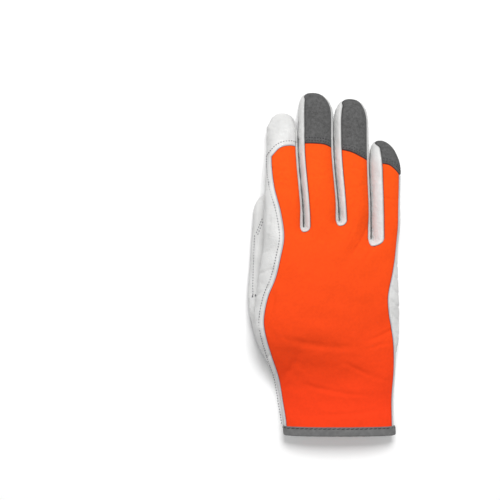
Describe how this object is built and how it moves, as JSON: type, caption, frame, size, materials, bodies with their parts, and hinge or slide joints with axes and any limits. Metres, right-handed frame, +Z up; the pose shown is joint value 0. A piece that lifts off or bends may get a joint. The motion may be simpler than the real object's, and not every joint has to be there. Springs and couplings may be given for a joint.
{
  "type": "gardening glove",
  "caption": "Right-hand work glove lying palm down, with a cloth back, leather palm, fingertip caps, a ribbed thumb back and a bound cuff.",
  "frame": {"origin": "middle of the underside of the whole glove, on the surface it lies on", "axes": "+Y from the cuff to the fingertips, +Z up through the back of the hand, +X from the thumb to the little finger"},
  "size_m": [0.1106, 0.2498, 0.0374],
  "materials": {
    "leather": "white goatskin with a fine grain, softly creased",
    "orange_cloth": "matt stretch cloth with a fine weave",
    "grey_suede": "napped suede-like cloth",
    "black_rib": "ribbed stretch cloth",
    "grey_tape": "woven binding tape"
  },
  "bodies": {
    "root": {"back_panel": "orange_cloth", "palm_panel": "leather", "index_middle_fourchette": "leather", "middle_ring_fourchette": "leather", "ring_little_fourchette": "leather", "middle_tip_cap": "grey_suede", "ring_tip_cap": "grey_suede", "little_tip_cap": "grey_suede", "thumb_front_panel": "leather", "thumb_rib_panel": "black_rib", "cuff_binding": "grey_tape"}
  },
  "joints": []
}
